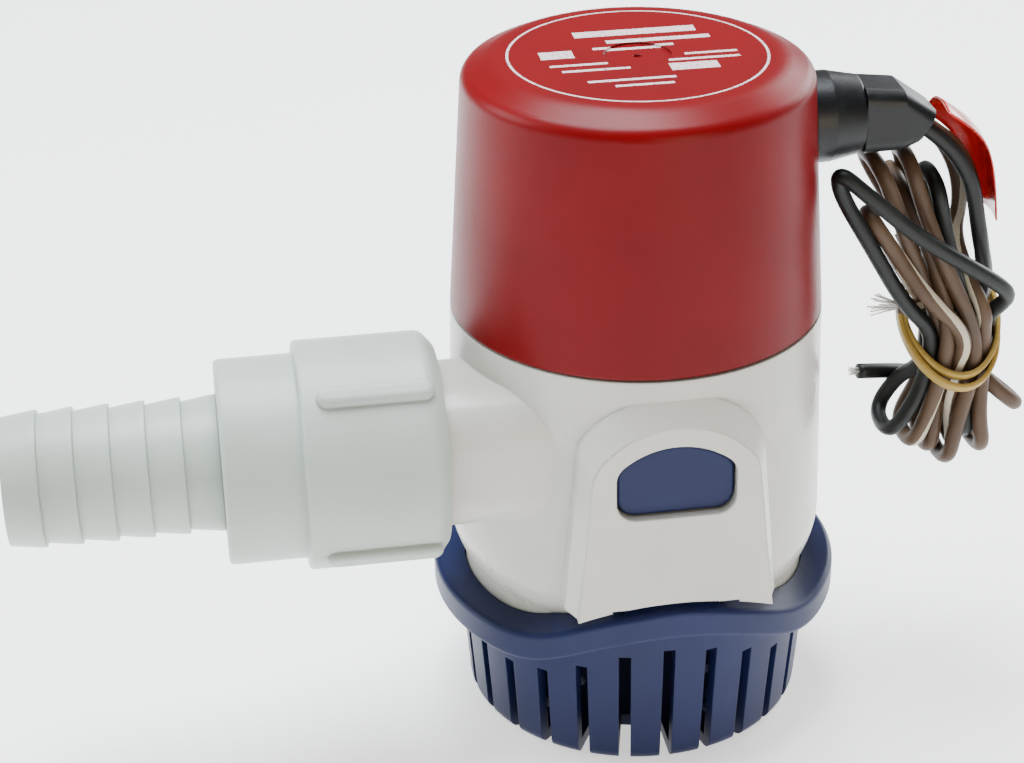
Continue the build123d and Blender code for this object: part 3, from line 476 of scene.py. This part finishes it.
def smooth_line(name: str, points: Sequence[Vector], resolution: int = 10) -> list[Vector]:
    """The points of a smooth NURBS curve that follows a route.

    Args:
        name: Name of the scratch curve.
        points: The route, as control points in metres.
        resolution: Steps for each control point.

    Returns:
        Points along the curve, in order.
    """
    curve = bpy.data.curves.new(name, "CURVE")
    curve.dimensions = "3D"
    curve.resolution_u = resolution
    spline = curve.splines.new("NURBS")
    spline.points.add(len(points) - 1)
    for control, place in zip(spline.points, points):
        control.co = (*place, 1.0)
    spline.order_u = 3
    spline.use_endpoint_u = True
    scratch = bpy.data.objects.new(name, curve)
    mesh = bpy.data.meshes.new_from_object(scratch)
    line = [v.co.copy() for v in mesh.vertices]
    bpy.data.objects.remove(scratch)
    bpy.data.meshes.remove(mesh)
    bpy.data.curves.remove(curve)
    return line


def length_of(line: Sequence[Vector]) -> float:
    """Length of a line of points."""
    return sum((b - a).length for a, b in zip(line, line[1:]))


def add_piece(name: str, mesh: bpy.types.Mesh, body: str, smooth: bool = True) -> bpy.types.Object:
    """Link a mesh into the scene as a piece that rides on a body."""
    piece = bpy.data.objects.new(name, mesh)
    bpy.context.scene.collection.objects.link(piece)
    for face in mesh.polygons:
        face.use_smooth = smooth
    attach(piece, body)
    return piece


def swept_mesh(
    name: str,
    line: Sequence[Vector],
    section: Sequence[tuple[float, float]],
    up: Vector | None = None,
    closed: bool = False,
    turns_per_m: float = 0.0,
) -> bpy.types.Mesh:
    """Sweep a closed section along a line.

    Args:
        name: Name of the mesh.
        line: Points in metres.
        section: Corners of the section, as (side, up) in metres.
        up: A direction that the section's second axis keeps near, or None to carry it along.
        closed: Whether the line meets itself.
        turns_per_m: How often the stripe's place goes round the section.

    Returns:
        The mesh, with the cosine of the place round the section stored on its points as "around".
    """
    bm = bmesh.new()
    around = bm.verts.layers.float.new("around")
    count = len(line)
    carried = Vector((0.0, 1.0, 0.0))
    rings = []
    run = 0.0
    for i, place in enumerate(line):
        before = line[i - 1] if i or closed else line[0]
        after = line[(i + 1) % count] if closed or i + 1 < count else line[-1]
        ahead = (after - before).normalized()
        carried = up if up is not None else carried
        side = ahead.cross(carried)
        if side.length < 1e-6:
            side = ahead.orthogonal()
        side.normalize()
        rise = side.cross(ahead).normalized()
        if up is None:
            carried = rise
        ring = []
        for x, y in section:
            vert = bm.verts.new(place + side * x + rise * y)
            vert[around] = math.cos(math.atan2(y, x) + run * turns_per_m * math.tau)
            ring.append(vert)
        rings.append(ring)
        if i + 1 < count:
            run += (line[i + 1] - place).length
    pairs = list(zip(rings, rings[1:]))
    if closed:
        pairs.append((rings[-1], rings[0]))
    sides = len(section)
    for low, high in pairs:
        for j in range(sides):
            k = (j + 1) % sides
            bm.faces.new((low[j], low[k], high[k], high[j]))
    if not closed:
        bm.faces.new(list(reversed(rings[0])))
        bm.faces.new(rings[-1])
    bmesh.ops.recalc_face_normals(bm, faces=bm.faces)
    mesh = bpy.data.meshes.new(name)
    bm.to_mesh(mesh)
    bm.free()
    return mesh


def round_section(radius: float, sides: int = 14) -> list[tuple[float, float]]:
    """Corners of a circle."""
    angles = [math.tau * i / sides for i in range(sides)]
    return [(radius * math.cos(a), radius * math.sin(a)) for a in angles]


def flat_section(width: float, height: float, sides: int = 16) -> list[tuple[float, float]]:
    """Corners of a flat section with soft edges."""
    corners = []
    for i in range(sides):
        c, s = math.cos(math.tau * i / sides), math.sin(math.tau * i / sides)
        power = 2 / 5
        corners.append(
            (width / 2 * math.copysign(abs(c) ** power, c), height / 2 * math.copysign(abs(s) ** power, s))
        )
    return corners


# ---------------------------------------------------------------- power leads
@dataclass
class Settling:
    """Presses the folded leads apart until they lie beside each other, as in a tied bundle."""

    diameter_mm: float = LEAD_MM
    steps: int = 260
    samples_per_span: int = 4
    own_reach_mm: float = 9.0
    cap_r_mm: float = 41.6
    ceiling_mm: float = 124.0
    waist_mm: tuple[float, float, float, float] = (WAIST_X_MM, 0.0, 8.2, 8.2)
    waist_z_mm: float = BAND_Z_MM
    waist_slope: float = BAND_TILT
    waist_half_mm: float = 6.0
    outside_waist: float = 1.5
    ceiling_reach_mm: float = 60.0
    held_share: float = 0.05
    press: float = 0.9
    clear: float = 0.6
    stride: float = 1.2
    homing: float = 0.004

    def basis(self, count: int) -> np.ndarray:
        """Share of each control point in each sample of a smooth curve."""
        rows = []
        for i in range(1, count - 1):
            for step in range(self.samples_per_span):
                t = step / self.samples_per_span
                row = np.zeros(count)
                row[i - 1 : i + 2] = (0.5 * (1 - t) ** 2, 0.5 * (1 + 2 * t - 2 * t * t), 0.5 * t * t)
                rows.append(row)
        return np.array(rows)

    def keep_clear(self, points: np.ndarray) -> np.ndarray:
        """Moves that keep samples off the cap and the gland and inside the band."""
        move = np.zeros_like(points)
        reach = np.hypot(points[:, 0], points[:, 1])
        inside = np.maximum(self.cap_r_mm - reach, 0.0)
        move[:, :2] += points[:, :2] / reach[:, None] * inside[:, None]
        under = (points[:, 0] < self.ceiling_reach_mm) & (points[:, 2] > self.ceiling_mm)
        move[under, 2] -= points[under, 2] - self.ceiling_mm
        cx, cy, half_x, half_y = self.waist_mm
        level = self.waist_z_mm + self.waist_slope * points[:, 1]
        near = np.abs(points[:, 2] - level) < self.waist_half_mm
        away = np.hypot((points[:, 0] - cx) / half_x, (points[:, 1] - cy) / half_y)
        past = near & (away > 1.0) & (away < self.outside_waist)
        pull = (1.0 - 1.0 / np.maximum(away[past], 1.0))[:, None]
        move[past, :2] -= (points[past, :2] - (cx, cy)) * pull
        return move

    def run(self, routes: list[np.ndarray], held: list[tuple[int, int]]) -> list[np.ndarray]:
        """Press the routes apart.

        Args:
            routes: Control points of each lead, in millimetres.
            held: How many control points stay put at the start and at the end of each lead.

        Returns:
            The control points after pressing.
        """
        bases = [self.basis(len(route)) for route in routes]
        owner = np.concatenate([np.full(len(b), i) for i, b in enumerate(bases)])
        order = np.concatenate([np.arange(len(b)) for b in bases])
        free = []
        for route, (first, last) in zip(routes, held):
            mask = np.ones(len(route))
            mask[:first] = 0.0
            mask[len(route) - last :] = 0.0
            free.append(mask[:, None])
        rest = [route.copy() for route in routes]
        loose = np.concatenate([b @ mask for b, mask in zip(bases, free)])[:, 0] > self.held_share
        for _ in range(self.steps):
            points = np.concatenate([b @ route for b, route in zip(bases, routes)])
            gap = points[:, None, :] - points[None, :, :]
            far = np.sqrt((gap**2).sum(axis=2)) + 1e-9
            spacing = np.linalg.norm(np.diff(points, axis=0), axis=1).mean()
            apart = np.abs(order[:, None] - order[None, :]) * spacing > self.own_reach_mm
            touching = (far < self.diameter_mm) & (apart | (owner[:, None] != owner[None, :]))
            touching &= loose[:, None] | loose[None, :]
            deep = np.where(touching, (self.diameter_mm - far) / far, 0.0)
            move = (deep[:, :, None] * gap).sum(axis=1) / np.maximum(touching.sum(axis=1), 1)[:, None]
            move = self.press * move + self.clear * self.keep_clear(points)
            start = 0
            for i, base in enumerate(bases):
                part = move[start : start + len(base)]
                start += len(base)
                shift = base.T @ part / np.maximum(base.sum(axis=0), 0.5)[:, None]
                smooth = shift.copy()
                smooth[1:-1] = 0.5 * shift[1:-1] + 0.25 * (shift[:-2] + shift[2:])
                homing = self.homing * (rest[i] - routes[i])
                routes[i] = routes[i] + (self.stride * smooth + homing) * free[i]
        log.info("leads pressed apart, deepest overlap left %.2f mm", self.deepest(routes))
        return routes

    def deepest(self, routes: list[np.ndarray]) -> float:
        """How far the tubes still share room, in millimetres."""
        lines = [self.basis(len(route)) @ route for route in routes]
        worst = 0.0
        for i, one in enumerate(lines):
            for other in lines[i + 1 :]:
                far = np.sqrt(((one[:, None, :] - other[None, :, :]) ** 2).sum(axis=2))
                worst = max(worst, self.diameter_mm - float(far.min()))
        return worst


@dataclass(frozen=True)
class Fold:
    """A U-turn of a lead at one end of the bundle.

    at_mm is the tip of the fold, to_mm is where the lead passes the band on its way out, as (x, y),
    and half_mm is half of the fold's width.
    """

    at_mm: Point
    to_mm: tuple[float, float]
    half_mm: float = 6.4


@dataclass
class Lead:
    """One insulated lead: out of the sleeve, folded in the bundle, and out again to a bare end."""

    name: str
    finish: Finish
    nodes: tuple[str, ...]
    tip_node: str
    lead_in_mm: list[Point]
    first_mm: tuple[float, float]
    folds: list[Fold]
    tail_mm: list[Point]
    strands: int = 9
    strand_len_mm: float = 4.5
    fray: float = 0.25
    diameter: float = LEAD_MM * MM
    band_z_mm: float = 79.0
    band_half_mm: float = 5.0
    knee_mm: float = 10.0
    middle_share: float = 0.62
    middle_side_mm: float = 0.8
    short_reach_mm: float = 34.0

    def route(self) -> list[Point]:
        """Control points of the whole lead, in millimetres."""
        points = list(self.lead_in_mm)
        x, y = self.first_mm
        points += [(x, y, self.band_z_mm + self.band_half_mm), (x, y, self.band_z_mm - self.band_half_mm)]
        for fold in self.folds:
            points += self.turn((x, y), fold)
            x, y = fold.to_mm
            down = fold.at_mm[2] > self.band_z_mm
            half = self.band_half_mm if down else -self.band_half_mm
            points += [(x, y, self.band_z_mm + end) for end in (half, -half)]
        return points + list(self.tail_mm)

    def turn(self, start: tuple[float, float], fold: Fold) -> list[Point]:
        """Control points of one fold, from the band out to its tip and back."""
        tip = Vector(fold.at_mm)
        waist = Vector((WAIST_X_MM, 0.0, self.band_z_mm))
        out = (tip - waist).normalized()
        across = Vector((0.0, 1.0, 0.0))
        sign = -1.0 if start[1] < fold.to_mm[1] else 1.0
        legs = []
        for side, (x, y) in ((sign, start), (-sign, fold.to_mm)):
            shoulder = tip + across * side * fold.half_mm
            knee = shoulder - out * self.knee_mm
            gate = Vector((x, y, self.band_z_mm))
            middle = gate.lerp(knee, self.middle_share) + across * side * self.middle_side_mm
            legs.append([middle, knee, shoulder])
        first, second = legs
        if (tip - waist).length < self.short_reach_mm:
            first, second = first[1:], second[1:]
        return [tuple(p) for p in first + list(reversed(second))]

    def build(self, palette: Palette, route_mm: np.ndarray) -> bpy.types.Object:
        line = smooth_line(self.name + "_line", to_metres(route_mm))
        mesh = swept_mesh(self.name, line, round_section(self.diameter / 2), turns_per_m=9.0)
        lead = add_piece(self.name, mesh, "pump")
        palette.dress(lead, self.finish)
        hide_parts(*self.nodes)
        strands = self.bare_strands(line, palette)
        tuple(line[0])
        round(length_of(line), 3)
        log.info("%s: %.3f m long", self.name, length_of(line))
        return lead

    def bare_strands(self, line: Sequence[Vector], palette: Palette) -> bpy.types.Object:
        """Tinned strands that fan out of the lead's end."""
        rng = random.Random(self.name)
        end = line[-1]
        ahead = (line[-1] - line[-3]).normalized()
        side = ahead.orthogonal().normalized()
        bm = bmesh.new()
        for i in range(self.strands):
            turn = math.tau * i / self.strands + rng.uniform(-0.2, 0.2)
            ring = 0.0 if i == 0 else 1.0
            away = Matrix.Rotation(turn, 3, ahead) @ side
            foot = end - ahead * 0.4 * MM + away * ring * 0.62 * MM
            reach = self.strand_len_mm * MM * rng.uniform(0.7, 1.0)
            spread = away * reach * self.fray * rng.uniform(0.3, 1.0)
            points = [foot, foot + ahead * reach * 0.5 + spread * 0.3, foot + ahead * reach + spread]
            strand = swept_mesh("strand", smooth_line("strand_line", points, 5), round_section(0.2 * MM, 6))
            bm.from_mesh(strand)
            bpy.data.meshes.remove(strand)
        mesh = bpy.data.meshes.new(self.name + "_strands")
        bm.to_mesh(mesh)
        bm.free()
        piece = add_piece(self.name + "_strands", mesh, "pump")
        palette.dress(piece, Finish.TINNED)
        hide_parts(self.tip_node)
        return piece


@dataclass
class Tag:
    """Red vinyl tag wrapped round the leads where they leave the sleeve.

    Its section runs from behind the leads, round their outside and a little way over the front.
    """

    outer_mm: tuple[Point, ...] = (
        (66.2, 0.0, 135.4),
        (73.6, 0.0, 131.0),
        (77.9, 0.0, 121.6),
        (78.9, 0.0, 109.6),
    )
    section_mm: tuple[tuple[float, float], ...] = (
        (-4.5, 6.3),
        (-1.5, 6.2),
        (0.2, 4.4),
        (0.2, -1.0),
        (-0.6, -5.2),
    )
    thick_mm: float = 0.35

    def build(self, palette: Palette) -> None:
        """Make the tag."""
        spine = smooth_line("tag_spine", to_metres(self.outer_mm), 12)
        curl = smooth_line("tag_curl", [Vector((n, y, 0.0)) * MM for n, y in self.section_mm], 6)
        bm = bmesh.new()
        rows = []
        for i, place in enumerate(spine):
            ahead = (spine[min(i + 1, len(spine) - 1)] - spine[max(i - 1, 0)]).normalized()
            out = Vector((-ahead.z, 0.0, ahead.x))
            row = [bm.verts.new(place + out * c.x + Vector((0.0, c.y, 0.0))) for c in curl]
            rows.append(row)
        for low, high in zip(rows, rows[1:]):
            for j in range(len(curl) - 1):
                bm.faces.new((low[j], low[j + 1], high[j + 1], high[j]))
        mesh = bpy.data.meshes.new("red_tag_film")
        bm.to_mesh(mesh)
        bm.free()
        film = add_piece("red_tag_film", mesh, "pump")
        thick = film.modifiers.new("thickness", "SOLIDIFY")
        thick.thickness = self.thick_mm * MM
        thick.offset = 0.0
        palette.dress(film, Finish.RED_FILM)
        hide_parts("red_tag")
        log.info("red tag")


@dataclass
class LeadBundle:
    """The three folded leads, the rubber band that ties them, and the red tag round them."""

    band_centre_mm: Point = (WAIST_X_MM, 0.0, BAND_Z_MM)
    band_half_x_mm: float = 10.7
    band_half_y_mm: float = 10.7
    band_tilt: float = BAND_TILT
    band_width_mm: float = 2.6
    band_thick_mm: float = 1.2
    leads: list[Lead] = field(default_factory=list)

    def __post_init__(self) -> None:
        """Lay out the leads."""
        self.leads = [
            Lead(
                "lead_black_long",
                Finish.LEAD_BLACK,
                ("lead_black", "tail_black"),
                "tip_black",
                [
                    (61.0, -3.9, 132.2),
                    (65.2, -4.3, 129.0),
                    (69.4, -4.9, 124.2),
                    (72.4, -5.2, 118.0),
                    (74.0, -5.0, 110.6),
                    (74.0, -4.4, 103.0),
                    (77.0, -1.0, 92.0),
                ],
                (78.4, 1.6),
                [
                    Fold((75.4, 0.0, 56.8), (75.6, -2.6)),
                    Fold((64.6, 2.0, 119.0), (67.0, -2.4)),
                    Fold((57.2, -1.0, 59.6), (65.4, -6.6)),
                ],
                [
                    (58.0, -7.6, 92.0),
                    (50.0, -7.8, 108.0),
                    (43.4, -7.4, 121.0),
                    (41.4, -8.4, 127.4),
                    (47.4, -10.4, 120.6),
                    (58.0, -11.4, 110.6),
                    (70.0, -11.4, 102.6),
                    (79.4, -9.8, 95.6),
                    (83.2, -7.4, 91.4),
                    (83.0, -2.0, 85.0),
                    (85.2, 2.4, 76.0),
                    (83.0, 5.4, 68.0),
                    (77.4, 8.6, 63.6),
                    (68.0, 8.8, 65.2),
                    (60.6, 7.6, 68.2),
                    (53.2, 6.6, 69.2),
                ],
                strand_len_mm=3.0,
                fray=0.12,
            ),
            Lead(
                "lead_brown_long",
                Finish.LEAD_BROWN,
                ("lead_brown", "tail_brown"),
                "tip_brown",
                [
                    (61.0, 0.0, 132.2),
                    (65.2, 0.0, 129.3),
                    (70.2, 0.4, 124.8),
                    (73.8, 0.8, 118.4),
                    (75.6, 0.8, 111.0),
                    (76.6, 0.6, 103.4),
                    (79.0, 0.6, 93.0),
                ],
                (79.4, 2.6),
                [
                    Fold((88.0, 0.0, 62.4), (75.2, 5.6), 4.0),
                    Fold((51.6, 2.0, 126.0), (69.6, -2.6)),
                    Fold((68.0, 0.0, 54.0), (70.2, 5.4)),
                    Fold((58.6, 3.0, 125.0), (74.0, -6.6)),
                    Fold((71.4, 0.0, 51.4), (67.4, 5.4)),
                ],
                [
                    (66.5, 6.0, 93.5),
                    (64.2, 8.2, 97.6),
                    (62.5, 10.6, 101.4),
                ],
            ),
            Lead(
                "lead_striped_long",
                Finish.LEAD_STRIPED,
                ("lead_striped", "tail_striped", "lead_hank"),
                "tip_striped",
                [
                    (61.0, 3.9, 132.2),
                    (65.0, 4.2, 128.9),
                    (69.4, 4.6, 123.6),
                    (72.4, 4.9, 117.2),
                    (73.4, 4.7, 110.2),
                    (72.8, 4.2, 103.2),
                    (75.0, -1.0, 95.0),
                    (77.4, -5.6, 88.0),
                ],
                (77.6, -6.0),
                [
                    Fold((77.4, 0.0, 53.2), (78.0, 5.0)),
                    Fold((58.0, 6.0, 117.0), (68.4, -6.6)),
                    Fold((63.0, 0.0, 56.0), (68.4, 1.8)),
                    Fold((49.8, -3.6, 112.6), (71.4, -6.6), 3.4),
                    Fold((74.0, 1.0, 54.4), (72.8, 1.8)),
                ],
                [
                    (70.0, 0.6, 90.0),
                    (66.0, -2.0, 88.6),
                    (62.6, -1.4, 88.2),
                    (59.0, -1.0, 88.8),
                ],
                strand_len_mm=7.0,
                fray=0.4,
                strands=12,
            ),
        ]

    def band_line(self) -> list[Vector]:
        """Centreline of the band, which goes round the bundle twice and crosses itself."""
        points = []
        steps = 96
        cx, cy, cz = self.band_centre_mm
        for i in range(steps):
            turn = 2 * math.tau * i / steps
            half = math.cos(turn / 2)
            grow = 0.55 * math.sin(turn / 2) + 0.25 * math.sin(3 * turn)
            x = (self.band_half_x_mm + grow) * math.cos(turn)
            y = (self.band_half_y_mm + grow) * math.sin(turn)
            z = self.band_tilt * y + 1.35 * half + 0.3 * math.sin(2 * turn)
            points.append(Vector((cx + x, cy + y, cz + z)) * MM)
        return points

    def build(self, palette: Palette) -> None:
        """Make the leads, the band and the tag."""
        routes = [np.array(lead.route()) for lead in self.leads]
        held = [(5, 2) for _ in self.leads]
        routes = Settling().run(routes, held)
        for lead, route in zip(self.leads, routes):
            lead.build(palette, route)
        Tag().build(palette)
        section = flat_section(self.band_thick_mm * MM, self.band_width_mm * MM)
        tilt = Vector((0.0, -self.band_tilt, 1.0)).normalized()
        mesh = swept_mesh("rubber_band_loop", self.band_line(), section, up=tilt, closed=True)
        band = add_piece("rubber_band_loop", mesh, "pump")
        palette.dress(band, Finish.BAND)
        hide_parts("rubber_band")
        log.info("rubber band and %d leads", len(self.leads))


# ---------------------------------------------------------------- dressing the CAD pieces
NODE_FINISHES: dict[str, Finish] = {
    "strainer": Finish.NAVY,
    "release_tab_front": Finish.NAVY,
    "release_tab_rear": Finish.NAVY,
    "pump_body": Finish.WHITE,
    "inlet_plate": Finish.WHITE,
    "valve_seat": Finish.WHITE,
    "motor_cap": Finish.RED,
    "coupling_nut": Finish.FITTING,
    "hose_barb": Finish.FITTING,
    "cap_ring": Finish.BLACK_RUBBER,
    "port_ring": Finish.BLACK_RUBBER,
    "shaft_seal": Finish.BLACK_RUBBER,
    "valve_flap": Finish.BLACK_RUBBER,
    "cable_gland": Finish.BLACK_RUBBER,
    "cable_sleeve": Finish.BLACK_RUBBER,
    "motor_pad": Finish.FOAM,
    "impeller": Finish.BLACK_PLASTIC,
    "end_bell": Finish.BLACK_PLASTIC,
    "switching_relay": Finish.BLACK_PLASTIC,
    "board_chip": Finish.BLACK_PLASTIC,
    "plate_screws": Finish.STEEL,
    "motor_shaft": Finish.STEEL,
    "motor_can": Finish.STEEL,
    "flap_pin": Finish.STEEL,
    "armature_core": Finish.CORE,
    "windings": Finish.COPPER,
    "commutator": Finish.COPPER,
    "magnets": Finish.FERRITE,
    "shaft_bushes": Finish.BRONZE,
    "brushes": Finish.CARBON,
    "brush_arms": Finish.BRASS,
    "motor_terminals": Finish.BRASS,
    "control_board": Finish.BOARD,
    "board_capacitors": Finish.ALUMINIUM,
}


def dress_nodes(frame: dict[str, Any], palette: Palette) -> None:
    """Give every CAD piece that shows its finish."""
    for name, finish in NODE_FINISHES.items():
        node = frame["nodes"][name]
        for place in node.material_slots:
            place.material = palette[finish]
        if not node.material_slots:
            log.warning("%s has no material slot", name)
        log.info("%s: %s", name, finish.value.name)


# ---------------------------------------------------------------- studio
@dataclass
class Studio:
    """Pale floor, soft lights and the camera."""

    camera_place: Point = (-0.0942, -0.4453, 0.3170)
    camera_right: Point = (0.98752, -0.15676, -0.01510)
    camera_up: Point = (0.08671, 0.46116, 0.88307)
    lens_mm: float = 82.2
    sensor_mm: float = 36.0
    floor_half: float = 3.0

    def build_camera(self) -> None:
        """Place the camera at its viewing angle."""
        data = bpy.data.cameras.new("camera")
        data.lens = self.lens_mm
        data.sensor_width = self.sensor_mm
        data.clip_start = 0.01
        camera = bpy.data.objects.new("camera", data)
        right, up = Vector(self.camera_right), Vector(self.camera_up)
        back = right.cross(up).normalized()
        up = back.cross(right).normalized()
        turn = Matrix((right.normalized(), up, back)).transposed().to_4x4()
        camera.matrix_world = Matrix.Translation(self.camera_place) @ turn
        bpy.context.scene.collection.objects.link(camera)
        bpy.context.scene.camera = camera

    def build_floor(self) -> None:
        """Lay a pale floor with a faint texture."""
        bm = bmesh.new()
        bmesh.ops.create_grid(bm, x_segments=2, y_segments=2, size=self.floor_half)
        mesh = bpy.data.meshes.new("floor")
        bm.to_mesh(mesh)
        bm.free()
        floor = bpy.data.objects.new("floor", mesh)
        bpy.context.scene.collection.objects.link(floor)
        shader = Shader("floor_paper")
        shader.set(
            Base_Color=shader.mix(shader.noise(0.002, 2.0), (0.88, 0.87, 0.85), (0.90, 0.90, 0.89)),
            Roughness=0.75,
            Emission_Color=(1.0, 1.0, 1.0, 1.0),
            Emission_Strength=0.9,
        )
        mesh.materials.append(shader.material)

    def area_light(self, name: str, place: Point, size: float, power: float, colour: Colour) -> None:
        """Hang a soft square light that faces the pump."""
        data = bpy.data.lights.new(name, "AREA")
        data.size = size
        data.energy = power
        data.color = colour
        light = bpy.data.objects.new(name, data)
        aim = Vector((0.0, 0.0, 0.07)) - Vector(place)
        light.matrix_world = Matrix.Translation(place) @ aim.to_track_quat("-Z", "Y").to_matrix().to_4x4()
        bpy.context.scene.collection.objects.link(light)

    def build_lights(self) -> None:
        """Light the pump softly from above, both sides and behind."""
        self.area_light("overhead", (-0.10, 0.20, 1.1), 0.7, 36.0, (0.88, 0.94, 1.0))
        self.area_light("left", (-1.0, 0.25, 0.55), 0.6, 9.0, (0.92, 0.97, 1.0))
        self.area_light("right_back", (0.85, 0.65, 0.5), 0.7, 14.0, (0.95, 0.98, 1.0))
        self.area_light("front", (0.35, -1.1, 0.30), 0.5, 4.4, (1.0, 0.84, 0.62))
        world = bpy.data.worlds.new("studio")
        world.use_nodes = True
        background = world.node_tree.nodes["Background"]
        background.inputs["Color"].default_value = (0.95, 0.97, 1.0, 1.0)
        background.inputs["Strength"].default_value = 0.3
        bpy.context.scene.world = world

    def build(self) -> None:
        """Build the whole studio."""
        self.build_camera()
        self.build_floor()
        self.build_lights()


def main() -> None:
    """Build the finished pump around its frame."""
    logging.basicConfig(level=logging.INFO, format="%(message)s")
    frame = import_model()
    palette = Palette()
    dress_nodes(frame, palette)
    Studio().build()
    LeadBundle().build(palette)


if __name__ == "__main__":
    main()
